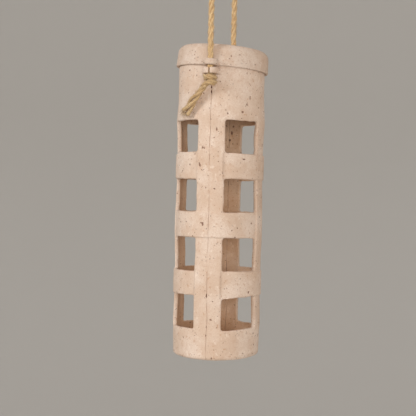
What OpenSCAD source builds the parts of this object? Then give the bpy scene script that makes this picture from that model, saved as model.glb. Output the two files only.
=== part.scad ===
// Hanging feeder: a woven-look moulded tube in two bonded halves, a loose cap and a rope loop.
// The rope runs from a knot under the front lug, up through the cap, over and down to the back lug.
// Millimetres, +Z up, front lug on -Y. The origin is where a hook bears under the rope loop.

/* [Tube] */
// Outer radius of the tube
tube_r = 39; // [38:0.5:41]
// Thickness of the moulded wall
wall_t = 3.7; // [3:0.1:4.5]
// Thickness of the floor
floor_t = 4; // [3:0.5:6]
// Height of the closed ring below the lowest windows
base_h = 26.5; // [20:0.5:30]
// Height of the closed section between the highest windows and the cap's rim
collar_h = 47.5; // [42:0.5:60]
// Height of the narrower neck that stands inside the cap
neck_h = 10.5; // [8:0.5:10.5]

/* [Weave] */
// Number of rows of windows
rows = 4; // [2:1:4]
// Height of one window
window_h = 29; // [24:1:30]
// Height of the band between two rows of windows
band_h = 23; // [18:1:26]
// Width of each upright stave, measured straight across
stave_w = 25; // [22:1:30]
// How far a band stands proud of the stave that it passes over
weave_rise = 1.1; // [0.5:0.1:1.5]

/* [Cap] */
// Outer radius of the cap at its rim
cap_r = 41.9; // [41.5:0.1:43]
// Height of the cap from its rim to the top of its crown
cap_h = 21.6; // [21.2:0.1:26]
// Sideways tilt at which the loose cap sits, in degrees
cap_tilt = 4; // [0:0.5:4]

/* [Rope] */
// Diameter of the rope
rope_d = 5; // [4:0.5:5]
// Distance of each upright leg of the rope from the tube's axis
rope_offset = 45; // [45:0.5:46]
// Diameter of the holes that the rope passes through
hole_d = 6.2; // [6:0.1:6.8]
// Thickness of the lugs
lug_t = 5.3; // [4:0.1:6]

/* [Hidden] */
$fn = 96;

// Columns of windows stand on the diagonals, staves stand on the axes.
pitch_h = window_h + band_h;
rim_z = base_h + rows * window_h + (rows - 1) * band_h + collar_h;
shoulder_z = rim_z + 3.4;
top_z = shoulder_z + neck_h;
stave_angle = 2 * asin(stave_w / 2 / tube_r);
window_angle = 90 - stave_angle;
lap_angle = 1.5;
ledge = 0.5;
bore_r = tube_r - wall_t;
neck_r = tube_r - 1;
edge_r = 3;
past = 8;
arc_steps = 6;

// Lugs: a round eye on two straight wings, those of the cap a little narrower.
eye_r = hole_d / 2 + 2.5;
tube_lug_w = 19;
cap_lug_w = 15;
lug_gap = 2.7;
lug_top_z = rim_z - lug_gap;
lug_low_z = lug_top_z - lug_t;
slit_w = 1;

// Cap: its own heights are measured from the rim.
cap_bore_r = 39.6;
cap_crown_r = 41.1;
cap_side_h = 14.5;
cap_edge_r = 4.5;
cap_ceiling_h = 18.5;

// Knots and rope: the loop's route is [y, z above the lug's underside] from the front knot
// to the top of the loop, and the back leg mirrors it.
knot_r = 5.8;
knot_h = 10.4;
rope_sides = 10;
loop_top = 201.5;
half_route = [
  [-45, 0], [-45, 12], [-45, 24], [-45, 36], [-45, 48], [-45, 60], [-45, 72], [-45, 84],
  [-45, 94], [-45, 103], [-44.4, 112.5], [-43.1, 122.5], [-41, 132], [-38.1, 142], [-34.5, 152],
  [-30.2, 161.5], [-25.3, 171], [-20, 180], [-15.6, 187.5], [-12, 193.5], [-8.3, 198],
  [-4.3, 200.7], [0, 201.5]
];
half_count = len(half_route);
loop_route = [
  for (i = [0 : 2 * half_count - 2])
    let (mirrored = i >= half_count, j = mirrored ? 2 * half_count - 2 - i : i)
    [0, (mirrored ? -1 : 1) * half_route[j][0], lug_low_z + half_route[j][1]]
];
// The front tail leaves its knot downwards and to the left, clear of the wall.
tail_route = [
  [-1, -45, -5], [-3, -45.2, -8], [-5.6, -45, -11.5], [-8.8, -44.3, -15.5],
  [-12.2, -43.2, -19.5], [-16, -41.8, -24], [-20, -40, -28.5], [-23.6, -38.2, -32.5]
];
front_tail = [for (p = tail_route) [p[0], p[1], lug_low_z + p[2]]];
back_tail = [for (p = front_tail) [-p[0], -p[1], p[2]]];

// Height of the hook's point above the underside of the floor.
hang_z = lug_low_z + loop_top - rope_d / 2;

// Points of an arc about a centre, from one angle to another.
function arc(cx, cy, r, from, to) =
  [for (i = [0 : arc_steps]) let (a = from + (to - from) * i / arc_steps)
    [cx + r * cos(a), cy + r * sin(a)]];

// A block of a thick ring, between two radii, two angles and two heights.
module sector(r_in, r_out, a_from, a_to, z_from, z_to) {
  translate([0, 0, z_from])
    rotate([0, 0, a_from])
      rotate_extrude(angle = a_to - a_from)
        translate([r_in, 0])
          square([r_out - r_in, z_to - z_from]);
}

// A round eye around the rope with two wings back to the wall, from z_low upwards.
module lug(width, z_low, height, root_r) {
  translate([0, 0, z_low]) {
    translate([0, -rope_offset, 0])
      cylinder(h = height, r = eye_r);
    linear_extrude(height)
      polygon([
        [-width / 2, -root_r], [width / 2, -root_r],
        [eye_r * 0.9, -rope_offset - 1], [-eye_r * 0.9, -rope_offset - 1]
      ]);
  }
}

// The rope's hole through the front lug.
module rope_hole(z_low, height) {
  translate([0, -rope_offset, z_low - 1])
    cylinder(h = height + 2, d = hole_d);
}

// Half of the tube's revolved wall and floor on the +X side.
module half_wall() {
  outline = concat(
    [[0, 0]],
    arc(tube_r - edge_r, edge_r, edge_r, -90, 0),
    [[tube_r, shoulder_z], [neck_r, shoulder_z], [neck_r, top_z], [bore_r, top_z]],
    arc(bore_r - edge_r, floor_t + edge_r, edge_r, 0, -90),
    [[0, floor_t]]
  );
  rotate([0, 0, -90])
    rotate_extrude(angle = 180)
      polygon(outline);
}

// The raised run of one band on the +X side: over the side stave, or over the front and back ones.
// It laps a little past the edge of the stave that it dives under, and leaves a fine ledge at the sills.
module half_band(row) {
  z_low = base_h + window_h + row * pitch_h + ledge;
  z_high = z_low + band_h - 2 * ledge;
  over_side = (rows - 2 - row) % 2 == 0;
  in_r = tube_r - 1;
  out_r = tube_r + weave_rise;
  dive = stave_angle / 2 - lap_angle;
  if (over_side) {
    sector(in_r, out_r, dive - 90, 90 - dive, z_low, z_high);
  } else {
    sector(in_r, out_r, -90, -dive, z_low, z_high);
    sector(in_r, out_r, dive, 90, z_low, z_high);
  }
}

// The windows of the +X side, one column on each diagonal.
module half_windows() {
  for (row = [0 : rows - 1])
    for (middle = [-45, 45])
      sector(bore_r - past, tube_r + past, middle - window_angle / 2, middle + window_angle / 2,
             base_h + row * pitch_h, base_h + row * pitch_h + window_h);
}

// The two lugs' halves on the +X side, with the rope's hole and the slit at the parting plane.
module half_lugs() {
  intersection() {
    difference() {
      for (turn = [0, 180])
        rotate([0, 0, turn])
          difference() {
            lug(tube_lug_w, lug_low_z, lug_t, tube_r - 1.5);
            rope_hole(lug_low_z, lug_t);
            translate([-slit_w / 2, -rope_offset - 2 * eye_r, lug_low_z - 1])
              cube([slit_w, 2 * eye_r, lug_t + 2]);
          }
      translate([0, 0, lug_low_z - 1])
        cylinder(h = lug_t + 2, r = bore_r + 0.5);
    }
    translate([0, -2 * tube_r, lug_low_z - 2])
      cube([2 * tube_r, 4 * tube_r, lug_t + 4]);
  }
}

// One moulded half of the tube, on the +X side.
module half_shell() {
  difference() {
    union() {
      half_wall();
      for (row = [0 : rows - 2])
        half_band(row);
    }
    half_windows();
  }
  half_lugs();
}

module shell_right() {
  color([0.86, 0.76, 0.67])
    translate([0, 0, -hang_z])
      half_shell();
}

module shell_left() {
  color([0.88, 0.78, 0.70])
    translate([0, 0, -hang_z])
      mirror([1, 0, 0])
        half_shell();
}

// The cap's revolved skirt and shallow crown.
module cap_body() {
  crown_drop = cap_h - cap_side_h - cap_edge_r * 0.8;
  outline = concat(
    [[cap_bore_r, 0], [cap_r - 0.4, 0], [cap_r, 0.5], [cap_crown_r, cap_side_h]],
    arc(cap_crown_r - cap_edge_r, cap_side_h, cap_edge_r, 10, 68),
    [
      [cap_crown_r * 0.72, cap_h - crown_drop * 0.42],
      [cap_crown_r * 0.48, cap_h - crown_drop * 0.18],
      [cap_crown_r * 0.24, cap_h - crown_drop * 0.05],
      [0, cap_h], [0, cap_ceiling_h], [cap_bore_r * 0.8, cap_ceiling_h - 0.4],
      [cap_bore_r - 1, cap_ceiling_h - 1.6], [cap_bore_r, cap_ceiling_h - 3]
    ]
  );
  rotate_extrude()
    polygon(outline);
}

module lid() {
  color([0.85, 0.75, 0.67])
    translate([0, 0, rim_z - hang_z])
      rotate([0, cap_tilt, 0])
        difference() {
          union() {
            cap_body();
            for (turn = [0, 180])
              rotate([0, 0, turn])
                difference() {
                  lug(cap_lug_w, 0, lug_t, cap_bore_r - 1);
                  translate([0, 0, -1])
                    cylinder(h = lug_t + 2, r = cap_bore_r + 0.4);
                }
          }
          for (turn = [0, 180])
            rotate([0, 0, turn])
              rope_hole(0, cap_h);
        }
}

function unit(v) = v / norm(v);

// Direction of the route at one of its points.
function heading(route, i) =
  unit(route[min(i + 1, len(route) - 1)] - route[max(i - 1, 0)]);

// One ring of the tube: points around the route, square to its direction.
function ring(route, i) =
  let (ahead = heading(route, i), side = unit(cross(ahead, [1, 0, 0])), other = cross(side, ahead))
  [for (k = [0 : rope_sides - 1])
    let (a = 360 * k / rope_sides)
    route[i] + rope_d / 2 * (cos(a) * side + sin(a) * other)];

// A round tube swept along a route, with a ring at each of its points.
module rope_tube(route) {
  last = len(route) - 1;
  points = [for (i = [0 : last]) each ring(route, i)];
  walls = [
    for (i = [0 : last - 1], k = [0 : rope_sides - 1])
      let (a = i * rope_sides + k, b = i * rope_sides + (k + 1) % rope_sides)
      each [[a, a + rope_sides, b], [b, a + rope_sides, b + rope_sides]]
  ];
  first_end = [[for (k = [0 : rope_sides - 1]) k]];
  last_end = [[for (k = [rope_sides - 1 : -1 : 0]) last * rope_sides + k]];
  polyhedron(points, concat(walls, first_end, last_end));
}

module rope_loop() {
  color([0.78, 0.65, 0.50])
    translate([0, 0, -hang_z])
      rope_tube(loop_route);
}

// A tight knot: a barrel with rounded edges, its top face against the lug.
module knot() {
  color([0.75, 0.59, 0.43])
    translate([0, -rope_offset, lug_low_z - knot_h - hang_z])
      rotate_extrude()
        polygon(concat(
          [[0, 0]],
          arc(knot_r - edge_r, edge_r, edge_r, -90, 0),
          arc(knot_r - edge_r, knot_h - edge_r, edge_r, 0, 90),
          [[0, knot_h]]
        ));
}

module knot_front() {
  knot();
}

module knot_back() {
  rotate([0, 0, 180])
    knot();
}

module tail_front() {
  color([0.76, 0.62, 0.48])
    translate([0, 0, -hang_z])
      rope_tube(front_tail);
}

module tail_back() {
  color([0.76, 0.62, 0.48])
    translate([0, 0, -hang_z])
      rope_tube(back_tail);
}

shell_left();
shell_right();
lid();
rope_loop();
knot_front();
knot_back();
tail_front();
tail_back();
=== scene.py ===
import math

import bpy
import numpy as np
from mathutils import Matrix, Vector


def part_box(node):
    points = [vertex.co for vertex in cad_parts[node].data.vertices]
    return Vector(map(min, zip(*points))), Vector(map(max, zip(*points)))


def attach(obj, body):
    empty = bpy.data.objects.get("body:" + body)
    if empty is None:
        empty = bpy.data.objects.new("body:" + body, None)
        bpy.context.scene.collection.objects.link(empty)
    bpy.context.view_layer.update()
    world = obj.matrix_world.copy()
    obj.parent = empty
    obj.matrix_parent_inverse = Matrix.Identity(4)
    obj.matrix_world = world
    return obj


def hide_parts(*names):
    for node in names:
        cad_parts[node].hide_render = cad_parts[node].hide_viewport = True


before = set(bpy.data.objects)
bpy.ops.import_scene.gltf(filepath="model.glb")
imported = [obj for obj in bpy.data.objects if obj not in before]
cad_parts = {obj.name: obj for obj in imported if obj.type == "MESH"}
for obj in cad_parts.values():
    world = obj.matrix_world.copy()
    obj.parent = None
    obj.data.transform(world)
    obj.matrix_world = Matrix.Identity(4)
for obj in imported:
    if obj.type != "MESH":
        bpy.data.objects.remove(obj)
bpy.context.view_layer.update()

# ---------------------------------------------------------------------------------------------
# Dimensions, in millimetres above the underside of the feeder and from its axis.
# ---------------------------------------------------------------------------------------------
MM = 0.001
ROPE_D = 5.0
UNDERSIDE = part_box("shell_left")[0][2] / MM
NECK_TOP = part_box("shell_left")[1][2] / MM - UNDERSIDE
ROPE_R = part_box("rope_loop")[1][1] / MM - ROPE_D / 2
LUG_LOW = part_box("knot_front")[1][2] / MM - UNDERSIDE

TUBE_R = 39.0
NECK_R = TUBE_R - 1
WALL = 3.7
FLOOR = 4.0
BASE_H = 26.5
WINDOW_H = 29.0
BAND_H = 23.0
COLLAR_H = 47.5
SHOULDER_H = 3.4
ROWS = 4
STAVE_HALF = 18.7
LUG_T = 5.3
LUG_WIDTH = 19.0
CAP_LUG_WIDTH = 15.0
HOLE_R = 3.1
CAP_TILT = math.radians(4)

PITCH = WINDOW_H + BAND_H
WINDOW_HALF_ARC = math.radians(45 - STAVE_HALF) * TUBE_R
COLLAR_Z = BASE_H + ROWS * WINDOW_H + (ROWS - 1) * BAND_H
RIM_Z = COLLAR_Z + COLLAR_H
SHOULDER_Z = RIM_Z + SHOULDER_H
BAND_MID = [BASE_H + WINDOW_H + BAND_H / 2 + k * PITCH for k in range(ROWS - 1)]

# Half the width and depth of the grids that the clay meshes come from, their margins and steps.
GRID_SIDE = 43.0
CAP_GRID_SIDE = 44.0
GRID_FRONT = 52.0
GRID_MARGIN = 2.0
CAP_GRID_MARGIN = 2.5
TUBE_STEP = 0.87
CAP_STEP = 0.55


def to_row(points):
    """Points in millimetres above the underside, as metres in the row frame."""
    return (np.asarray(points, float) + [0, 0, UNDERSIDE]) * MM


# ---------------------------------------------------------------------------------------------
# Camera, at the photograph's angle
# ---------------------------------------------------------------------------------------------
CAM_AZIMUTH, CAM_ELEVATION, CAM_ROLL = map(math.radians, (13.99, 0.76, 1.325))
CAM_DISTANCE = 870.35
CAM_LENS = 82.2
CAM_AIM_Z = 140
CAM_LEFT = 10.0
CAM_DOWN = 6.5


def make_camera():
    """A camera in front and to the right, a little above the middle and rolled clockwise."""
    a, e, roll = CAM_AZIMUTH, CAM_ELEVATION, CAM_ROLL
    back = Vector((math.sin(a) * math.cos(e), -math.cos(a) * math.cos(e), math.sin(e)))
    right = Vector((math.cos(a), math.sin(a), 0))
    up = back.cross(right)
    target = Vector((0, 0, CAM_AIM_Z)) - CAM_LEFT * right - CAM_DOWN * up
    place = target + CAM_DISTANCE * back
    side = right * math.cos(roll) + up * math.sin(roll)
    top = up * math.cos(roll) - right * math.sin(roll)
    data = bpy.data.cameras.new("camera")
    data.lens, data.sensor_width = CAM_LENS, 36.0
    data.clip_start, data.clip_end = 0.01, 50
    cam = bpy.data.objects.new("camera", data)
    bpy.context.collection.objects.link(cam)
    turn = Matrix((side, top, back)).transposed()
    cam.matrix_world = Matrix.Translation(Vector(to_row(place))) @ turn.to_4x4()
    bpy.context.scene.camera = cam


# ---------------------------------------------------------------------------------------------
# Fields: smooth noise and signed distances, negative inside
# ---------------------------------------------------------------------------------------------
LATTICE = np.random.RandomState(11).uniform(-1, 1, (32, 32, 32)).astype(np.float32)
# The unevenness of hand-made clay, as depth, size of its lumps, and shift.
GRAIN = [(0.26, 24, 3.1), (0.13, 8, 9.7), (0.07, 3, 5.3), (0.04, 1.5, 1.9)]
PIT_SIZE = 2.1
PIT_PATCH = 21


def noise(p, size, shift=0.0):
    """Smooth noise between about -1 and 1 whose lumps are size millimetres across."""
    q = np.asarray(p, np.float32) / size + shift
    cell = np.floor(q).astype(int)
    f = q - cell
    f = f * f * (3 - 2 * f)
    total = 0.0
    for dx in (0, 1):
        wx = f[:, 0] if dx else 1 - f[:, 0]
        for dy in (0, 1):
            wy = f[:, 1] if dy else 1 - f[:, 1]
            for dz in (0, 1):
                wz = f[:, 2] if dz else 1 - f[:, 2]
                corner = LATTICE[(cell[:, 0] + dx) & 31, (cell[:, 1] + dy) & 31, (cell[:, 2] + dz) & 31]
                total = total + wx * wy * wz * corner
    return total


def ramp(x, start, end):
    """0 before start, 1 after end, smooth between them."""
    t = np.clip((x - start) / (end - start), 0, 1)
    return t * t * (3 - 2 * t)


def both(a, b, soft):
    """Inside both shapes, with the edge between them softened."""
    h = np.maximum(soft - np.abs(a - b), 0) / soft
    return np.maximum(a, b) + h * h * soft * 0.25


def either(a, b, soft):
    """Inside one shape or the other, with the corner between them softened."""
    return -both(-a, -b, soft)


def both_round(a, b, radius):
    """Inside both shapes, with a true radius on the edge between them."""
    u, v = np.maximum(a + radius, 0), np.maximum(b + radius, 0)
    return np.hypot(u, v) + np.minimum(np.maximum(a, b) + radius, 0) - radius


def clay_grain(p):
    """The hand-made unevenness of every clay surface, in millimetres."""
    return sum(depth * noise(p, size, shift) for depth, size, shift in GRAIN)


def clay_pits(p):
    """Small pits in patches, from 0 to 1."""
    return ramp(noise(p, PIT_SIZE, 12.3), 0.66, 0.88) * ramp(noise(p, PIT_PATCH, 4.2), 0.0, 0.3)


# ---------------------------------------------------------------------------------------------
# Meshes from fields: one vertex in each cell that the surface crosses, moved onto the surface
# ---------------------------------------------------------------------------------------------
def grid_field(field, near, low, high, step):
    """Samples field on a grid, only where near says that the surface may be."""
    axes = [np.arange(a, b + step, step, dtype=np.float32) for a, b in zip(low, high)]
    shape = tuple(len(a) for a in axes)
    points = np.stack(np.meshgrid(*axes, indexing="ij"), -1).reshape(-1, 3)
    values = np.full(len(points), 5.0, np.float32)
    pick = near(points)
    values[pick] = field(points[pick])
    return values.reshape(shape)


def cell_surface(values, low, step):
    """Vertices and quads of the surface where values is 0."""
    shape = np.array(values.shape)
    cells = shape - 1
    total = int(np.prod(cells))
    sums, counts, quads = np.zeros((total, 3)), np.zeros(total), []
    stride = np.array([cells[1] * cells[2], cells[2], 1])
    # Each grid edge that the surface crosses gives one quad, between the four cells round it.
    for axis in range(3):
        one = np.eye(3, dtype=int)[axis]
        a = values[tuple(slice(0, n - o) for n, o in zip(shape, one))]
        b = values[tuple(slice(o, n) for n, o in zip(shape, one))]
        at = np.argwhere((a < 0) != (b < 0))
        u, v = (np.eye(3, dtype=int)[(axis + k) % 3] for k in (1, 2))
        inner = np.all((at @ np.stack([u, v], 1) >= 1), axis=1)
        inner &= np.all((at @ np.stack([u, v], 1) < [cells @ u, cells @ v]), axis=1)
        at = at[inner]
        va, vb = a[tuple(at.T)], b[tuple(at.T)]
        cross = at + one * (va / (va - vb))[:, None]
        ids = [(at - du * u - dv * v) @ stride for du, dv in ((0, 0), (1, 0), (1, 1), (0, 1))]
        for i in ids:
            for c in range(3):
                sums[:, c] += np.bincount(i, cross[:, c], total)
            counts += np.bincount(i, minlength=total)
        quad = np.stack(ids, 1)
        quad[va > 0] = quad[va > 0][:, ::-1]
        quads.append(quad)
    # A cell's vertex is the middle of the crossings on its edges.
    used = np.flatnonzero(counts)
    index = np.full(total, -1)
    index[used] = np.arange(len(used))
    points = sums[used] / counts[used, None] * step + np.array(low)
    return points, index[np.concatenate(quads)]


def settle(field, points, rounds=3):
    """Moves points onto the field's zero surface."""
    reach = 0.25
    for _ in range(rounds):
        value = field(points)
        slope = np.stack([field(points + reach * e) - field(points - reach * e) for e in np.eye(3)], 1)
        slope /= 2 * reach
        size = np.maximum((slope ** 2).sum(1), 0.2)
        points = points - np.clip(value / size, -0.5, 0.5)[:, None] * slope
    return points


def mesh_object(name, points, faces, material, sharp=None):
    """A mesh object from points in metres in the row frame."""
    data = bpy.data.meshes.new(name)
    data.from_pydata([tuple(p) for p in points], [], [tuple(int(i) for i in f) for f in faces])
    data.validate()
    data.shade_smooth()
    if sharp:
        data.set_sharp_from_angle(angle=math.radians(sharp))
    data.materials.append(material)
    obj = bpy.data.objects.new(name, data)
    bpy.context.collection.objects.link(obj)
    return obj


def add_layer(obj, name, rows):
    """Gives each vertex a vector that the material reads."""
    layer = obj.data.attributes.new(name, "FLOAT_VECTOR", "POINT")
    layer.data.foreach_set("vector", np.asarray(rows).astype(np.float32).ravel())


def clay_object(name, field, pit_and_inner_shade, near, low, high, step, material, place=None):
    """A clay piece from its field. Its fourth argument gives how pitted and how far inside each point is,
    the masks of the painted shade in pits and inside.
    """
    values = grid_field(field, near, low, high, step)
    points, faces = cell_surface(values, low, step)
    points = settle(field, points)
    placed = place(points) if place else points
    obj = mesh_object(name, to_row(placed), faces, material, sharp=50)
    pitted, inside = pit_and_inner_shade(points)
    add_layer(obj, "pit_and_inner_shade", np.stack([pitted, inside, np.zeros(len(points))], 1))
    return obj


# ---------------------------------------------------------------------------------------------
# The rope: one length of three-ply jute, tail, knot, loop, knot and tail
# ---------------------------------------------------------------------------------------------
# The route of the loop's front half, as y and height over the lug's underside.
HALF_ROUTE = [
    (-45, 0), (-45, 12), (-45, 24), (-45, 36), (-45, 48), (-45, 60), (-45, 72), (-45, 84),
    (-45, 94), (-45, 103), (-44.4, 112.5), (-43.1, 122.5), (-41, 132), (-38.1, 142), (-34.5, 152),
    (-30.2, 161.5), (-25.3, 171), (-20, 180), (-15.6, 187.5), (-12, 193.5), (-8.3, 198),
    (-4.3, 200.7), (0, 201.5),
]
# The route of the front tail, as x, y and height over the lug's underside. The first points are
# inside the knot.
TAIL_ROUTE = [
    (-1, -45, -5), (-3, -45.2, -8), (-5.6, -45, -11.5), (-8.8, -44.3, -15.5),
    (-12.2, -43.2, -19.5), (-16, -41.8, -24), (-20, -40, -28.5), (-23.6, -38.2, -32.5),
]
TAIL_IN_KNOT = 2
# The knot: its middle below the lug, its coil's radius, how flat that is, and its rise and crossing.
KNOT_MID = 5.2
KNOT_COIL_R = 4.1
KNOT_FLAT = 0.68
KNOT_PITCH = 4.4
KNOT_CROSSING = 1.4

# Three plies of several yarns each: lengths of one turn, radius, and distance from the middle.
PLIES = 3
YARNS = 7
PLY_TURN = 24.0
YARN_TURN = 9.0
PLY_R = 1.36
PLY_OFF = 1.2
PLY_SIDES = 21

# Loose fibres per millimetre of loop and of knot, at a frayed end, and their reach.
LOOP_HAIRS = 2.6
KNOT_HAIRS = 6.0
END_HAIRS = 130
FIBRE_REACH = 4.7
# How far from its end the rope comes apart, and the step between points of its path.
FRAY_LENGTH = 24
PATH_STEP = 0.6


def knot_route():
    """The look of a tight overhand knot, from the loop's foot down to the tail, as x, y and height.
    The rope comes down the middle, coils once and a third below that, from the back, and leaves
    over the front, to the left. It doesn't pass through its own turn, so the line isn't knotted."""
    u = np.linspace(-0.18, 1.2, 24)
    r = KNOT_COIL_R * ramp(u, -0.4, 0.0)
    across = r * np.cos(2 * math.pi * u)
    outward = KNOT_FLAT * r * np.sin(2 * math.pi * u)
    height = 3.2 - KNOT_PITCH * u - KNOT_CROSSING * np.cos(2 * math.pi * u)
    coil = np.stack([across, -ROPE_R - outward, height - KNOT_MID], 1)
    entry = [(0, -ROPE_R, 0), (0, -ROPE_R, -0.8)]
    return np.concatenate([entry, coil, [(-2.4, -ROPE_R - 1.6, -8.4)]])


def turned(points):
    """The same points half a turn round the axis."""
    return np.asarray(points) * [-1, -1, 1]


def smooth_path(points, step):
    """A smooth curve through the points, at even steps."""
    p = np.asarray(points, float)
    p = np.concatenate([[2 * p[0] - p[1]], p, [2 * p[-1] - p[-2]]])
    t = np.linspace(0, 1, 24, endpoint=False)[:, None]
    out = []
    for a, b, c, d in zip(p[:-3], p[1:-2], p[2:-1], p[3:]):
        square = (2 * a - 5 * b + 4 * c - d) * t ** 2
        cube = (3 * b - a - 3 * c + d) * t ** 3
        out.append(0.5 * (2 * b + (c - a) * t + square + cube))
    out = np.concatenate(out + [p[-2:-1]])
    run = np.concatenate([[0], np.cumsum(np.linalg.norm(np.diff(out, axis=0), axis=1))])
    even = np.linspace(0, run[-1], int(run[-1] / step) + 1)
    return np.stack([np.interp(even, run, out[:, k]) for k in range(3)], 1), even


def carried_frames(path):
    """Tangent and two normals at each point of a path, turned as little as possible."""
    tangent = np.gradient(path, axis=0)
    tangent /= np.linalg.norm(tangent, axis=1)[:, None]
    normal = np.cross(tangent[0], [0.31, 0.2, 0.9])
    normals = []
    for t in tangent:
        normal = normal - t * (normal @ t)
        normal = normal / np.linalg.norm(normal)
        normals.append(normal)
    normals = np.array(normals)
    return tangent, normals, np.cross(tangent, normals)


class Rope:
    """The rope's whole line, from the end of the front tail to the end of the back one."""

    NAMES = ["tail_front", "knot_front", "loop", "knot_back", "tail_back"]
    LOOP = NAMES.index("loop")
    # The end of each stretch but the loop is within this many points of its start.
    SEARCH = 400

    def __init__(self):
        half = np.array([(0, y, z) for y, z in HALF_ROUTE])
        loop = np.concatenate([half, (half * [1, -1, 1])[-2::-1]])
        knot, tail = knot_route(), np.array(TAIL_ROUTE)[TAIL_IN_KNOT:]
        parts = [tail[::-1], knot[::-1], loop, turned(knot), turned(tail)]
        parts = [part + [0, 0, LUG_LOW] for part in parts]
        self.path, self.run = smooth_path(np.concatenate(parts), PATH_STEP)
        self.tangent, self.normal, self.other = carried_frames(self.path)
        self.cuts = [0]
        for k, part in enumerate(parts[:-1]):
            first = self.cuts[-1]
            last = None if k == self.LOOP else first + self.SEARCH
            gap = np.linalg.norm(self.path[first:last] - part[-1], axis=1)
            self.cuts.append(first + int(np.argmin(gap)))
        self.cuts.append(len(self.path) - 1)

    def stretch(self, k):
        """Path, run, tangent and two normals of one named stretch."""
        pick = slice(self.cuts[k], self.cuts[k + 1] + 1)
        return [row[pick] for row in (self.path, self.run, self.tangent, self.normal, self.other)]


def tube_mesh(centres, normal, other, radius, around, ridge, offset):
    """Points, faces and angles of a tube with closed ends; radius varies with the angle by ridge."""
    n = len(centres)
    psi = np.arange(around) * 2 * math.pi / around
    r = radius[:, None] * (1 + ridge * np.cos(YARNS * psi[None, :] - offset[:, None]))
    way = np.cos(psi)[None, :, None] * normal[:, None] + np.sin(psi)[None, :, None] * other[:, None]
    points = (centres[:, None] + way * r[..., None]).reshape(-1, 3)
    i, j = np.meshgrid(np.arange(n - 1) * around, np.arange(around), indexing="ij")
    k = (j + 1) % around
    quads = np.stack([i + j, i + k, i + around + k, i + around + j], -1).reshape(-1, 4)
    faces = quads.tolist()
    faces.append(list(range(around))[::-1])
    faces.append(list(range((n - 1) * around, n * around)))
    return points, faces, np.tile(psi, n)


class Bundle:
    """Many closed tubes gathered into one mesh, with each point's place in its fibre."""

    def __init__(self):
        self.points, self.faces, self.fibre, self.total = [], [], [], 0

    def add(self, points, faces, fibre):
        self.points.append(points)
        self.faces += [[i + self.total for i in face] for face in faces]
        self.fibre.append(fibre)
        self.total += len(points)


def fray_amount(run, frayed_start, frayed_end):
    """How far the plies have come apart: 1 at a frayed end, 0 beyond FRAY_LENGTH from it."""
    fray = np.zeros(len(run))
    if frayed_start:
        fray = np.maximum(fray, 1 - np.clip((run - run[0]) / FRAY_LENGTH, 0, 1))
    if frayed_end:
        fray = np.maximum(fray, 1 - np.clip((run[-1] - run) / FRAY_LENGTH, 0, 1))
    return fray


def add_plies(bundle, stretch, fray):
    """The twisted plies, which untwist, thicken and spread along the tube's side where frayed."""
    path, run, _, normal, other = stretch
    outward = path * [1, 1, 0] / np.maximum(np.linalg.norm(path[:, :2], axis=1), 1.0)[:, None]
    untwist = np.concatenate([[0], np.cumsum(np.diff(run) * fray[1:])])
    for ply in range(PLIES):
        wobble = 0.12 * np.sin(run / (5.1 + ply) + 2 * ply) + 0.08 * np.sin(run / 2.3 + ply)
        turn = 2 * math.pi * ((run - 0.8 * untwist) / PLY_TURN + ply / PLIES) + wobble
        off = PLY_OFF + (2.4 + 0.6 * ply) * fray ** 1.2
        apart = off[:, None] * (np.cos(turn)[:, None] * normal + np.sin(turn)[:, None] * other)
        centre = path + apart - 0.55 * fray[:, None] * (apart * outward).sum(1)[:, None] * outward
        radius = PLY_R * (1 + 0.05 * np.sin(run / 3.7 + 4 * ply)) * (1 + 0.22 * fray)
        yarn = run * 2 * math.pi / YARN_TURN
        points, faces, psi = tube_mesh(centre, normal, other, radius, PLY_SIDES, 0.07, yarn)
        along = np.repeat(run, PLY_SIDES) + 700 * ply
        bundle.add(points, faces, np.stack([np.cos(psi), np.sin(psi), along], 1))


def add_fibre(bundle, rng, stretch, fray, start, length, spread):
    """One loose fibre, cut off where it would stand too far from the rope."""
    path, run, tangent, normal, other = stretch
    # Only the fibres at a frayed end have so small a spread.
    at_end = spread < 0.5
    angle = rng.uniform(0, 2 * math.pi)
    out = math.cos(angle) * normal[start] + math.sin(angle) * other[start]
    way = tangent[start] * (1 if rng.rand() < 0.5 else -1)
    if at_end:
        way = tangent[start] * (1 if start else -1)
    root = rng.uniform(0.2, 1.7) if at_end else 0.93
    begin = path[start] + out * (PLY_OFF + PLY_R) * root
    bend = rng.normal(0, 0.35, 3)
    t = np.linspace(0, 1, 5)[:, None]
    lift = spread * rng.uniform(0.1, 0.5)
    line = begin + length * (t * way * (1 - lift) + t * out * lift + t ** 2 * bend * 0.5)
    nearby = path[max(start - 20, 0):start + 21]
    gap = np.linalg.norm(line[:, None] - nearby[None], axis=2).min(axis=1)
    reach = FIBRE_REACH + 2.5 * fray[start]
    line = line[:int(np.argmax(gap > reach))] if gap.max() > reach else line
    if len(line) < 3:
        return
    thick = np.linspace(0.11, 0.05, len(line))
    _, n1, n2 = carried_frames(line)
    points, faces, _ = tube_mesh(line, n1, n2, thick, 3, 0.0, np.zeros(len(line)))
    bundle.add(points, faces, np.tile([[angle, length, run[start]]], (len(points), 1)))


def rope_piece(name, stretch, seed, material, hairs, frayed_start, frayed_end):
    """A stretch of the rope: its plies and the loose fibres on them."""
    rng = np.random.RandomState(seed)
    run = stretch[1]
    fray = fray_amount(run, frayed_start, frayed_end)
    bundle = Bundle()
    add_plies(bundle, stretch, fray)
    count = int((run[-1] - run[0]) * hairs)
    loose = [(int(i), rng.uniform(2.0, 6.0), 0.75) for i in rng.randint(0, len(run) - 1, count)]
    if frayed_start or frayed_end:
        end = 0 if frayed_start else len(run) - 1
        loose += [(end, rng.uniform(1.5, 5.5), 0.25) for _ in range(END_HAIRS)]
    for start, length, spread in loose:
        add_fibre(bundle, rng, stretch, fray, start, length, spread)
    obj = mesh_object(name, to_row(np.concatenate(bundle.points)), bundle.faces, material)
    add_layer(obj, "fibre", np.concatenate(bundle.fibre))
    return obj


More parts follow.
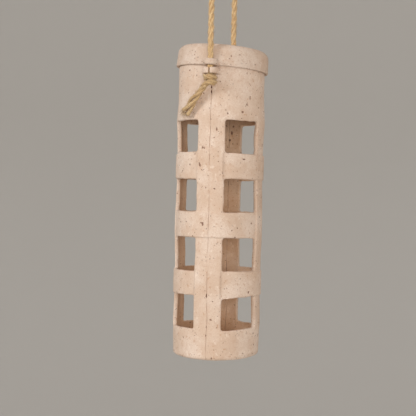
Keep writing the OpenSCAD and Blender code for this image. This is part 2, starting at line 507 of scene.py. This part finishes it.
def make_rope(loop_material, knot_material):
    """The rope's five pieces."""
    rope = Rope()
    made = []
    for k, name in enumerate(rope.NAMES):
        frayed_start, frayed_end = name == "tail_front", name == "tail_back"
        is_loop = k == rope.LOOP
        material, hairs = (loop_material, LOOP_HAIRS) if is_loop else (knot_material, KNOT_HAIRS)
        obj = rope_piece(
            "jute_" + name, rope.stretch(k), 20 + k, material, hairs, frayed_start, frayed_end
        )
        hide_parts("rope_loop" if is_loop else name)
        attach(obj, "feeder")
        made.append(obj)
    path = to_row(rope.stretch(rope.LOOP)[0])
    loop = made.pop(rope.LOOP)
    tuple(path[0])
    [tuple(p) for p in path]


# ---------------------------------------------------------------------------------------------
# The tube: four staves woven with three bands between a base ring and a collar
# ---------------------------------------------------------------------------------------------
def polar(p):
    """Radius, and angle in degrees from the front, positive towards +X."""
    return np.hypot(p[:, 0], p[:, 1]), np.degrees(np.arctan2(p[:, 0], -p[:, 1]))


def woven_radius(angle, z):
    """Outer radius of the tube: staves and bands swell where they pass over each other."""
    # Degrees from the nearer of front and back, and from the nearest stave's middle.
    to_front = np.abs((angle + 90) % 180 - 90)
    from_stave = np.minimum(to_front, 90 - to_front)
    front = to_front < 45
    wave = np.cos(math.pi * (z - BAND_MID[-1]) / PITCH)
    stave = TUBE_R + 0.4 + 0.45 * np.where(front, wave, -wave)
    in_stave = 1 - ramp((from_stave - STAVE_HALF) * math.radians(TUBE_R), -1.3, -0.3)
    out = stave
    for k, mid in enumerate(BAND_MID):
        side_over = (len(BAND_MID) - 1 - k) % 2 == 0
        lean = np.cos(np.radians(2 * to_front)) * (-1 if side_over else 1)
        band = TUBE_R + 0.45 + 0.7 * np.clip(lean * 1.5, -1, 1)
        in_band = 1 - ramp(np.abs(z - mid), BAND_H / 2 - 1.0, BAND_H / 2 - 0.1)
        near_band = np.abs(z - mid) < BAND_H / 2 + 0.5
        stave_over = front if side_over else ~front
        top = np.where(stave_over, band + (stave - band) * in_stave, stave + (band - stave) * in_band)
        out = np.where(near_band, top, out)
    # The weave fades out into the plain base ring and collar.
    base = TUBE_R - 0.1 + 0.4 * ramp(z, 2, 20)
    out = base + (out - base) * ramp(z, BASE_H - 5, BASE_H + 4)
    collar = TUBE_R - 0.1 + 1.1 * (1 - ramp(z, COLLAR_Z + 1, COLLAR_Z + 21))
    return collar + (out - collar) * (1 - ramp(z, COLLAR_Z - 9, COLLAR_Z + 1))


# How far each edge of a front window strays: left, right, bottom, top, and the slant of the last
# two, by row from the lowest and by the sign of x. The others stray by noise alone.
STRAY = {
    (0, 1): (0.3, 1.2, 0.2, -0.2, 0.04),
    (1, 1): (0.2, 0.4, 0.0, 0.2, 0.0),
    (2, 1): (0.4, 0.2, -0.2, 0.2, 0.0),
    (3, 1): (0.6, -1.4, 0.0, 0.0, -0.01),
    (0, -1): (1.0, 0.2, 0.2, 0.9, 0.02),
    (1, -1): (-0.5, 0.5, -0.6, 0.1, 0.01),
    (2, -1): (-0.4, 0.6, 0.3, 0.0, 0.0),
    (3, -1): (-0.6, 0.9, 0.9, 0.2, 0.0),
}


def window_field(p, angle, row, centre, side):
    """Distance to a round-cornered opening in the wall, measured round the tube and up."""
    stray = STRAY.get((row, side), (0, 0, 0, 0, 0)) if abs(centre) < 90 else (0, 0, 0, 0, 0)
    along = np.radians((angle - centre + 180) % 360 - 180) * TUBE_R
    left, right = -WINDOW_HALF_ARC + stray[0], WINDOW_HALF_ARC + stray[1]
    low = BASE_H + row * PITCH + stray[2]
    high = BASE_H + row * PITCH + WINDOW_H + stray[3]
    z = p[:, 2] - stray[4] * along
    corner = 2.2
    u = np.abs(along - (left + right) / 2) - (right - left) / 2 + corner
    v = np.abs(z - (low + high) / 2) - (high - low) / 2 + corner
    return np.hypot(np.maximum(u, 0), np.maximum(v, 0)) + np.minimum(np.maximum(u, v), 0) - corner


def lug_field(p, z_low, width, root_r):
    """A round eye on two wings, standing out towards -Y and, turned half round, towards +Y."""
    out = np.abs(p[:, 1])
    eye = np.hypot(p[:, 0] / 1.2, out - ROPE_R) - (HOLE_R + 2.2)
    reach = np.clip((ROPE_R + 1 - out) / (ROPE_R + 1 - root_r), 0, 1.2)
    wings = np.abs(p[:, 0]) - (HOLE_R + 1.4 + (width / 2 - HOLE_R - 1.4) * reach ** 0.8)
    wings = both(wings * 0.9, np.maximum(out - ROPE_R - 1, root_r - 4 - out), 1.0)
    plan = either(eye, wings, 1.5)
    tall = np.abs(p[:, 2] - z_low - LUG_T / 2) - LUG_T / 2
    return both_round(plan, tall, 1.3)


def seam_line(z):
    """How far the parting line strays from x = 0."""
    z = np.asarray(z)
    return 0.22 * np.sin(z / 17.0) + 0.12 * np.sin(z / 5.3 + 1) + 0.35 * ramp(z, 180, 60)


# Larger pits: angle in degrees from the front, place up the tube, half height and half width.
LARGE_PITS = [
    (0, 57, 1.8, 0.4), (0, 30, 1.1, 0.4), (0, 22, 0.9, 0.4), (0, 240, 1.1, 0.6), (0, 236, 1.4, 0.5),
    (7, 151, 0.6, 0.8), (6, 36, 0.7, 1.0), (8, 52, 0.5, 0.6), (-5, 79.5, 0.5, 0.6), (46, 177.5, 0.5, 1.4),
    (54, 232, 1.7, 0.5), (42, 219, 0.6, 1.2), (49, 226, 1.2, 0.5), (-30, 172, 0.8, 0.7),
    (22, 217, 0.9, 0.5), (-52, 56, 1.2, 0.7), (58, 60, 1.2, 0.6), (62, 121, 0.7, 0.9),
    (173, 62, 1.2, 0.9), (168, 56, 1.5, 0.7), (176, 205, 1.8, 0.8), (179, 198, 1.0, 1.0),
    (174, 211, 0.8, 1.1), (150, 230, 0.9, 1.0), (-110, 225, 1.0, 0.7),
]
PIT_DEPTH = 0.9


def large_pits(p, angle, depth):
    """How far inside a large pit each point is, in millimetres. depth is from the nearest face."""
    deepest = np.full(len(p), -9.0)
    for at, height, half_tall, half_wide in LARGE_PITS:
        close = np.flatnonzero(np.abs(p[:, 2] - height) < half_tall + 2)
        along = np.radians((angle[close] - at + 180) % 360 - 180) * TUBE_R
        across, up, into = along / half_wide, (p[close, 2] - height) / half_tall, depth[close] / PIT_DEPTH
        pit = np.sqrt(across ** 2 + up ** 2 + into ** 2)
        deepest[close] = np.maximum(deepest[close], (1 - pit) * half_wide)
    return deepest


# Radius of the foot's edge, and how much rounder it is worn about one place, in degrees.
FOOT_EDGE = 3.0
FOOT_WEAR = 3.5
FOOT_WORN_AT = 72
FOOT_WORN_HALF = 34
SLIT_HALF = 0.55
# The windows' cutters start this far from the axis.
CUT_FROM_R = 25
# Half the gap between the two halves.
JOINT_GAP = 0.015


def wall_field(p, r, angle, outer_r, inner_r, grain):
    """The round wall with its floor, foot and neck, before anything is cut from it."""
    z = p[:, 2]
    outer_r = np.where(z > SHOULDER_Z, NECK_R, outer_r)
    worn = np.clip(1 - ((angle - FOOT_WORN_AT) / FOOT_WORN_HALF) ** 2, 0, 1)
    outside = both_round(r - outer_r, -z, FOOT_EDGE + FOOT_WEAR * worn)
    outside = both_round(outside, z - NECK_TOP, 1.0)
    inside = both_round(r - inner_r, FLOOR - z, 3.0)
    pits = clay_pits(p)
    return np.maximum(outside + grain + 0.45 * pits, 0.3 * pits - inside)


def cut_windows(body, p, r, angle, side):
    """The windows of one half, with ragged edges, cut through the wall only."""
    ragged = 0.35 * noise(p, 7, 2.2) + 0.2 * noise(p, 2.8, 7.7)
    for row in range(ROWS):
        for centre in (45, 135):
            hole = window_field(p, angle, row, centre * side, side) + ragged
            body = both(body, -np.where(r > CUT_FROM_R, hole, 9), 1.3)
    return body


def add_lugs(body, p, r, grain):
    """The lugs outside the wall, with the rope's hole and the slit where the halves meet."""
    lugs = lug_field(p, LUG_LOW, LUG_WIDTH, TUBE_R - 1.5)
    lugs = np.maximum(lugs, TUBE_R - WALL + 0.8 - r) + 0.6 * grain
    body = either(body, lugs, 1.6)
    hole = np.hypot(p[:, 0], np.abs(p[:, 1]) - ROPE_R) - HOLE_R
    hole = np.where(np.abs(p[:, 2] - LUG_LOW - LUG_T / 2) < LUG_T, hole, 9)
    slit = np.maximum(np.abs(p[:, 0]) - SLIT_HALF, ROPE_R - np.abs(p[:, 1]))
    return both(body, -np.minimum(hole, slit), 0.7)


def tube_field(p, side):
    """One half of the tube, to the left where side is -1 and to the right where it is 1."""
    r, angle = polar(p)
    z = p[:, 2]
    grain = clay_grain(p)
    outer_r = woven_radius(angle, z)
    inner_r = outer_r - WALL + 0.5 * noise(p, 15, 6.6) + 0.15 * noise(p, 4, 0.4)
    body = wall_field(p, r, angle, outer_r, inner_r, grain)
    body = cut_windows(body, p, r, angle, side)
    body = add_lugs(body, p, r, grain)
    skin = np.minimum(np.abs(outer_r - r), np.abs(r - inner_r))
    body = both(body, large_pits(p, angle, skin), 0.3)
    cut = JOINT_GAP - side * (p[:, 0] - seam_line(z))
    groove = 0.2 + 0.5 * ramp(z, 195, 225) + 0.35 * np.clip(noise(p * [0, 0, 1], 9, 4.4), 0, 1)
    return both(body, cut, groove)


def tube_pit_and_inner_shade(p):
    """How pitted the tube is, and how far through its wall to the inside, from 0 to 1: the masks of the
    painted shade in its pits and inside.
    """
    r, angle = polar(p)
    outer_r = woven_radius(angle, p[:, 2])
    skin = np.minimum(np.abs(outer_r - r), np.abs(outer_r - WALL - r))
    large = large_pits(p, angle, 0.4 * skin)
    return np.maximum(clay_pits(p), ramp(large, -0.35, 0.4)), ramp(outer_r - r, 2.7, 3.6)


def near_tube(p):
    """Where the tube's surface may be: its wall, floor and lugs."""
    r = np.hypot(p[:, 0], p[:, 1])
    lug = (np.abs(p[:, 0]) < LUG_WIDTH / 2 + 3.5) & (np.abs(p[:, 2] - LUG_LOW - LUG_T / 2) < LUG_T)
    return ((r > TUBE_R - 6) | (p[:, 2] < FLOOR + 5)) & ((r < TUBE_R + 3.5) | lug)


def make_shell(name, side, material):
    """One half of the tube, on its own side of the parting line."""
    low = [-GRID_MARGIN if side > 0 else -GRID_SIDE, -GRID_FRONT, -GRID_MARGIN]
    high = [GRID_SIDE if side > 0 else GRID_MARGIN, GRID_FRONT, NECK_TOP + GRID_MARGIN]

    def field(p):
        return tube_field(p, side)

    return clay_object(name, field, tube_pit_and_inner_shade, near_tube, low, high, TUBE_STEP, material)


# ---------------------------------------------------------------------------------------------
# The cap: its own heights are from the rim, and it sits tilted to the right
# ---------------------------------------------------------------------------------------------
CAP_H = 22.3
# The crown is this much lower at DOME_R than at its middle.
CAP_DOME = 3.4
DOME_R = 38
SKIRT_SLOPE = 0.055
CAP_OUTER_EDGE = 5.2
CAP_R = 41.9
CAP_BORE = 39.6
CAP_CEILING = 18.5
CAP_INNER_EDGE = 5.5
# Takes the cap's clay from another place in the noise than the tube's.
CAP_CLAY = [0, 0, 400]


def cap_field(p):
    """The cap: a skirt that narrows upwards, a domed crown and two lugs with the rope's holes."""
    r = np.hypot(p[:, 0], p[:, 1])
    z = p[:, 2]
    grain = clay_grain(p + CAP_CLAY)
    skirt = r - (CAP_R - SKIRT_SLOPE * z)
    crown = (z - (CAP_H - CAP_DOME * (r / DOME_R) ** 2)) * 0.98
    outside = both_round(skirt, crown, CAP_OUTER_EDGE)
    outside = both_round(outside, -z, 0.9)
    inside = both_round(r - CAP_BORE, z - CAP_CEILING, CAP_INNER_EDGE)
    body = np.maximum(outside + 0.7 * grain + 0.2 * clay_pits(p + CAP_CLAY), 0.2 * grain - inside)
    lugs = lug_field(p + [0, 0, 0.4], 0, CAP_LUG_WIDTH, CAP_BORE - 1) + 0.5 * grain
    lugs = np.maximum(lugs, CAP_BORE + 0.3 - r)
    body = either(body, lugs, 1.6)
    hole = np.hypot(p[:, 0], np.abs(p[:, 1]) - ROPE_R) - HOLE_R
    return both(body, -hole, 0.6)


def cap_pit_and_inner_shade(p):
    """How pitted the cap is, and whether a point is on its inside, from 0 to 1: the masks of the painted
    shade in its pits and inside.
    """
    r = np.hypot(p[:, 0], p[:, 1])
    beyond_inside = both_round(r - CAP_BORE, p[:, 2] - CAP_CEILING, CAP_INNER_EDGE)
    return clay_pits(p + CAP_CLAY), 1 - ramp(beyond_inside, 0.3, 0.9)


def near_cap(p):
    """Where the cap's surface may be: its skirt, lugs and crown."""
    return (np.hypot(p[:, 0], p[:, 1]) > CAP_BORE - 3.1) | (p[:, 2] > CAP_CEILING - 3)


def tilted(points):
    """From the cap's own heights to its place on the rim."""
    c, t = math.cos(CAP_TILT), math.sin(CAP_TILT)
    turn = np.array([[c, 0, t], [0, 1, 0], [-t, 0, c]])
    return points @ turn.T + [0, 0, RIM_Z]


def make_cap(name, material):
    """The cap, made upright and then tilted onto the rim."""
    low = [-CAP_GRID_SIDE, -GRID_FRONT, -CAP_GRID_MARGIN]
    high = [CAP_GRID_SIDE, GRID_FRONT, CAP_H + CAP_GRID_MARGIN]
    return clay_object(name, cap_field, cap_pit_and_inner_shade, near_cap, low, high, CAP_STEP, material, tilted)


# ---------------------------------------------------------------------------------------------
# Materials
# ---------------------------------------------------------------------------------------------
def srgb(r, g, b):
    """A display colour, 0 to 255, as the linear colour that a shader takes."""
    return tuple(((c / 255 + 0.055) / 1.055) ** 2.4 for c in (r, g, b)) + (1.0,)


def plain_material(name, colour, roughness=0.8):
    """A material of one even colour."""
    m = bpy.data.materials.new(name)
    m.use_nodes = True
    shader = m.node_tree.nodes["Principled BSDF"]
    shader.inputs["Base Color"].default_value = colour
    shader.inputs["Roughness"].default_value = roughness
    return m


def new_material(name):
    """A material with its node tree and its shader."""
    m = bpy.data.materials.new(name)
    m.use_nodes = True
    return m, m.node_tree, m.node_tree.nodes["Principled BSDF"]


def mapped(tree, vector, scale, place=(0, 0, 0)):
    """The vector, scaled and shifted."""
    node = tree.nodes.new("ShaderNodeMapping")
    node.inputs["Scale"].default_value = scale
    node.inputs["Location"].default_value = place
    tree.links.new(vector, node.inputs["Vector"])
    return node.outputs["Vector"]


def noise_node(tree, vector, scale, detail=3.0, rough=0.55):
    """Shader noise, about 0 to 1. scale is in lumps per unit of the vector."""
    node = tree.nodes.new("ShaderNodeTexNoise")
    node.inputs["Scale"].default_value = scale
    node.inputs["Detail"].default_value = detail
    node.inputs["Roughness"].default_value = rough
    tree.links.new(vector, node.inputs["Vector"])
    return node.outputs["Fac"]


def step_node(tree, value, low, high, out_low=0.0, out_high=1.0):
    """A smooth step from out_low to out_high as the value goes from low to high."""
    node = tree.nodes.new("ShaderNodeMapRange")
    node.interpolation_type = "SMOOTHSTEP"
    for key, number in (("From Min", low), ("From Max", high), ("To Min", out_low), ("To Max", out_high)):
        node.inputs[key].default_value = number
    tree.links.new(value, node.inputs["Value"])
    return node.outputs["Result"]


def maths(tree, kind, a, b):
    """Two numbers or sockets joined by one operation."""
    node = tree.nodes.new("ShaderNodeMath")
    node.operation = kind
    for socket, value in zip(node.inputs, (a, b)):
        if isinstance(value, (int, float)):
            socket.default_value = value
        else:
            tree.links.new(value, socket)
    return node.outputs["Value"]


def blended(tree, amount, a, b, kind="MIX"):
    """Colour a with this amount of colour b in it."""
    node = tree.nodes.new("ShaderNodeMix")
    node.data_type, node.blend_type = "RGBA", kind
    sockets = [node.inputs["Factor"], node.inputs[6], node.inputs[7]]
    for socket, value in zip(sockets, (amount, a, b)):
        if isinstance(value, (int, float, tuple)):
            socket.default_value = value
        else:
            tree.links.new(value, socket)
    return node.outputs[2]


def specks(tree, vector, size, share, reach):
    """Irregular spots about reach of a cell across, in a share of cells size millimetres wide."""
    cells = tree.nodes.new("ShaderNodeTexVoronoi")
    cells.inputs["Scale"].default_value = 1000.0 / size
    cells.inputs["Randomness"].default_value = 1.0
    tree.links.new(vector, cells.inputs["Vector"])
    split = tree.nodes.new("ShaderNodeSeparateColor")
    tree.links.new(cells.outputs["Color"], split.inputs["Color"])
    chosen = maths(tree, "LESS_THAN", split.outputs["Red"], share)
    limit = maths(tree, "MULTIPLY", split.outputs["Green"], reach)
    limit = maths(tree, "ADD", limit, reach * 0.35)
    rough = noise_node(tree, vector, 2400.0 / size, 2.0)
    distance = maths(tree, "ADD", cells.outputs["Distance"], maths(tree, "MULTIPLY", rough, 0.35))
    distance = maths(tree, "SUBTRACT", distance, 0.17)
    gap = maths(tree, "SUBTRACT", limit, distance)
    return maths(tree, "MULTIPLY", chosen, step_node(tree, gap, 0.0, 0.09))


def warped(tree, place, scale, reach):
    """The place, moved about by up to reach so that spots get ragged outlines."""
    warp = tree.nodes.new("ShaderNodeTexNoise")
    warp.inputs["Scale"].default_value = scale
    tree.links.new(place, warp.inputs["Vector"])
    shift = tree.nodes.new("ShaderNodeVectorMath")
    shift.operation = "MULTIPLY_ADD"
    tree.links.new(warp.outputs["Color"], shift.inputs[0])
    shift.inputs[1].default_value = (reach, reach, reach)
    tree.links.new(place, shift.inputs[2])
    return shift.outputs["Vector"]


def pit_and_inner_shade_sockets(tree):
    """How pitted and how far inside the piece the surface is, which set where shade is painted."""
    pit_and_inner_shade = tree.nodes.new("ShaderNodeAttribute")
    pit_and_inner_shade.attribute_name = "pit_and_inner_shade"
    parts = tree.nodes.new("ShaderNodeSeparateXYZ")
    tree.links.new(pit_and_inner_shade.outputs["Vector"], parts.inputs["Vector"])
    return parts.outputs["X"], parts.outputs["Y"]


def spot_layer(tree, colour, amount, strength, spot_colour):
    """The colour with spots of another one laid over it."""
    return blended(tree, maths(tree, "MULTIPLY", amount, strength), colour, spot_colour)


def mottled_clay(tree, place, bent):
    """The clay's own colour: pale clouds, warmer veins, light flecks and a fine grain."""
    clouds = step_node(tree, noise_node(tree, place, 45, 4), 0.35, 0.68)
    colour = blended(tree, clouds, srgb(214, 190, 170), srgb(228, 210, 195))
    veins = step_node(tree, noise_node(tree, bent, 170, 3), 0.5, 0.75, 0, 0.35)
    colour = blended(tree, veins, colour, srgb(203, 168, 142))
    flecks = noise_node(tree, mapped(tree, bent, (1, 1, 0.7), (3, 0, 1)), 250, 2)
    colour = spot_layer(tree, colour, step_node(tree, flecks, 0.6, 0.7), 0.5, srgb(238, 222, 208))
    warm = noise_node(tree, mapped(tree, bent, (1, 1, 1), (0, 7, 2)), 400, 3)
    colour = spot_layer(tree, colour, step_node(tree, warm, 0.6, 0.72), 0.68, srgb(190, 148, 118))
    grain = noise_node(tree, mapped(tree, place, (1, 1, 1), (5, 5, 5)), 1100, 2)
    return spot_layer(tree, colour, step_node(tree, grain, 0.35, 0.7), 0.34, srgb(196, 160, 134))


def add_bump(tree, shader, height, strength, distance):
    """Roughens the shader's surface by height, over a distance in metres."""
    bump = tree.nodes.new("ShaderNodeBump")
    bump.inputs["Strength"].default_value = strength
    bump.inputs["Distance"].default_value = distance
    tree.links.new(height, bump.inputs["Height"])
    tree.links.new(bump.outputs["Normal"], shader.inputs["Normal"])


def clay_material(name, tone):
    """Unglazed clay with brown specks, painted shade darkening its pits, and painted warm shade inside the
    piece.
    """
    m, tree, shader = new_material(name)
    place = tree.nodes.new("ShaderNodeTexCoord").outputs["Object"]
    bent = warped(tree, place, 260.0, 0.003)
    pit_amount, inside = pit_and_inner_shade_sockets(tree)
    crumble = maths(tree, "MULTIPLY", noise_node(tree, place, 1500, 2), 0.9)
    pitted = step_node(tree, maths(tree, "ADD", pit_amount, crumble), 0.72, 0.95)
    fine = specks(tree, bent, 1.8, 0.15, 0.28)
    middling = specks(tree, mapped(tree, bent, (1, 1, 1), (2, 9, 4)), 2.9, 0.2, 0.2)
    patch = step_node(tree, noise_node(tree, place, 30, 2), 0.42, 0.6)
    coarse = maths(tree, "MULTIPLY", specks(tree, bent, 4.4, 0.17, 0.16), patch)

    colour = mottled_clay(tree, place, bent)
    colour = spot_layer(tree, colour, fine, 0.7, srgb(120, 82, 62))
    colour = spot_layer(tree, colour, middling, 0.5, srgb(150, 104, 80))
    colour = spot_layer(tree, colour, coarse, 0.85, srgb(98, 64, 50))
    # Painted shade: the pits are darkened where their own shadow falls.
    colour = spot_layer(tree, colour, pitted, 0.8, srgb(112, 72, 54))
    # Painted warm shade: the inside of the tube and cap is darker and warmer, for the dim light within.
    inner = blended(tree, 1.0, colour, (1.0, 0.9, 0.77, 1), "MULTIPLY")
    colour = blended(tree, inside, colour, inner)
    colour = blended(tree, 1.0, colour, (tone, tone, tone, 1), "MULTIPLY")
    tree.links.new(colour, shader.inputs["Base Color"])

    rough = step_node(tree, noise_node(tree, place, 300, 3), 0.3, 0.7, 0.78, 0.93)
    tree.links.new(rough, shader.inputs["Roughness"])
    shader.inputs["Specular IOR Level"].default_value = 0.3
    height = maths(tree, "MULTIPLY", noise_node(tree, place, 900, 4, 0.6), 0.35)
    height = maths(tree, "ADD", height, maths(tree, "MULTIPLY", noise_node(tree, place, 240, 3), 0.5))
    height = maths(tree, "SUBTRACT", height, maths(tree, "MULTIPLY", coarse, 1.2))
    height = maths(tree, "SUBTRACT", height, maths(tree, "MULTIPLY", fine, 0.5))
    add_bump(tree, shader, height, 0.55, 0.0006)
    return m


def jute_material(name, tone):
    """Dry jute: streaks and dark threads that run along each twisted ply."""
    m, tree, shader = new_material(name)
    node = tree.nodes.new("ShaderNodeAttribute")
    node.attribute_name = "fibre"
    fibre = node.outputs["Vector"]
    streak = noise_node(tree, mapped(tree, fibre, (3.2, 3.2, 0.35)), 1.0, 4, 0.65)
    thread = noise_node(tree, mapped(tree, fibre, (9.0, 9.0, 0.5), (3, 1, 5)), 1.0, 2, 0.6)
    patch = noise_node(tree, mapped(tree, fibre, (0.6, 0.6, 0.12), (9, 2, 7)), 1.0, 2, 0.5)
    colour = blended(tree, step_node(tree, streak, 0.32, 0.66), srgb(184, 142, 90), srgb(240, 212, 164))
    colour = blended(tree, step_node(tree, patch, 0.4, 0.7, 0, 0.5), colour, srgb(206, 166, 112))
    dark = step_node(tree, thread, 0.42, 0.3, 0, 0.55)
    colour = blended(tree, dark, colour, srgb(130, 88, 52))
    colour = blended(tree, 1.0, colour, (tone, tone, tone, 1), "MULTIPLY")
    tree.links.new(colour, shader.inputs["Base Color"])
    tree.links.new(step_node(tree, streak, 0.3, 0.7, 0.62, 0.85), shader.inputs["Roughness"])
    shader.inputs["Sheen Weight"].default_value = 0.25
    shader.inputs["Sheen Roughness"].default_value = 0.5
    add_bump(tree, shader, maths(tree, "ADD", streak, thread), 0.7, 0.0004)
    return m


# ---------------------------------------------------------------------------------------------
# Stage: a pale floor that curves up into a wall all round, and soft studio light, in metres
# ---------------------------------------------------------------------------------------------
FLOOR_Z = (UNDERSIDE - 700) * MM
FLOOR_FLAT_R = 2.2
FLOOR_BEND_R = 1.2
WALL_RISE = 1.6
LIGHT_AIM = Vector((0, 0, (UNDERSIDE + 150) * MM))
# Each light's name, place from LIGHT_AIM, size, power and colour.
LIGHTS = [
    ("key", (-1.14, -1.1, 0.62), 0.42, 12.4, (1, 0.995, 0.985)),
    ("fill", (1.2, -1.4, 0.2), 1.2, 7.4, (1, 0.915, 0.84)),
    ("front", (0.52, -1.64, 0.06), 0.6, 8.0, (1, 0.97, 0.93)),
]


def make_floor():
    """The stage: a round floor, its bend and its wall."""
    around, steps = 64, 12
    profile = [(0.01, 0), (FLOOR_FLAT_R, 0)]
    for k in range(1, steps + 1):
        turn = math.radians(90 * k / steps)
        profile.append((FLOOR_FLAT_R + FLOOR_BEND_R * math.sin(turn), FLOOR_BEND_R * (1 - math.cos(turn))))
    profile.append((FLOOR_FLAT_R + FLOOR_BEND_R, FLOOR_BEND_R + WALL_RISE))
    points, faces = [], []
    for r, h in profile:
        for k in range(around):
            angle = 2 * math.pi * k / around
            points.append((r * math.cos(angle), r * math.sin(angle), FLOOR_Z + h))
    for row in range(len(profile) - 1):
        for k in range(around):
            a, b = row * around + k, row * around + (k + 1) % around
            faces.append((a, b, b + around, a + around))
    faces.append(tuple(range(around))[::-1])
    floor = mesh_object("floor", points, faces, plain_material("pale_floor", srgb(212, 210, 206), 0.9))


def make_world():
    """A weak warm light from all sides."""
    world = bpy.data.worlds.new("world")
    bpy.context.scene.world = world
    world.use_nodes = True
    background = world.node_tree.nodes["Background"]
    background.inputs["Color"].default_value = (0.86, 0.82, 0.79, 1)
    background.inputs["Strength"].default_value = 0.7


def make_lights():
    """Round area lights, all turned towards LIGHT_AIM."""
    for name, place, size, power, colour in LIGHTS:
        light = bpy.data.lights.new(name, "AREA")
        light.shape, light.size, light.energy, light.color = "DISK", size, power, colour
        obj = bpy.data.objects.new(name, light)
        obj.location = LIGHT_AIM + Vector(place)
        obj.rotation_euler = (-Vector(place)).to_track_quat("-Z", "Y").to_euler()
        bpy.context.collection.objects.link(obj)


def make_clay_pieces():
    """The tube's halves and the cap, each in the place of its CAD node."""
    clay = clay_material("earthenware", 1.0)
    pieces = [
        (make_shell("tube_left", -1, clay), "shell_left", "feeder"),
        (make_shell("tube_right", 1, clay), "shell_right", "feeder"),
        (make_cap("cap", clay_material("earthenware_cap", 0.91)), "lid", "cap"),
    ]
    for piece, node, body in pieces:
        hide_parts(node)
        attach(piece, body)


make_camera()
# The knots and tails are drawn 0.84 as bright as the loop; in the knots this is painted shade for their
# tight turns.
make_rope(jute_material("jute", 1.0), jute_material("jute_knot", 0.84))
make_clay_pieces()
make_floor()
make_world()
make_lights()
bpy.context.scene.view_settings.view_transform = "Standard"
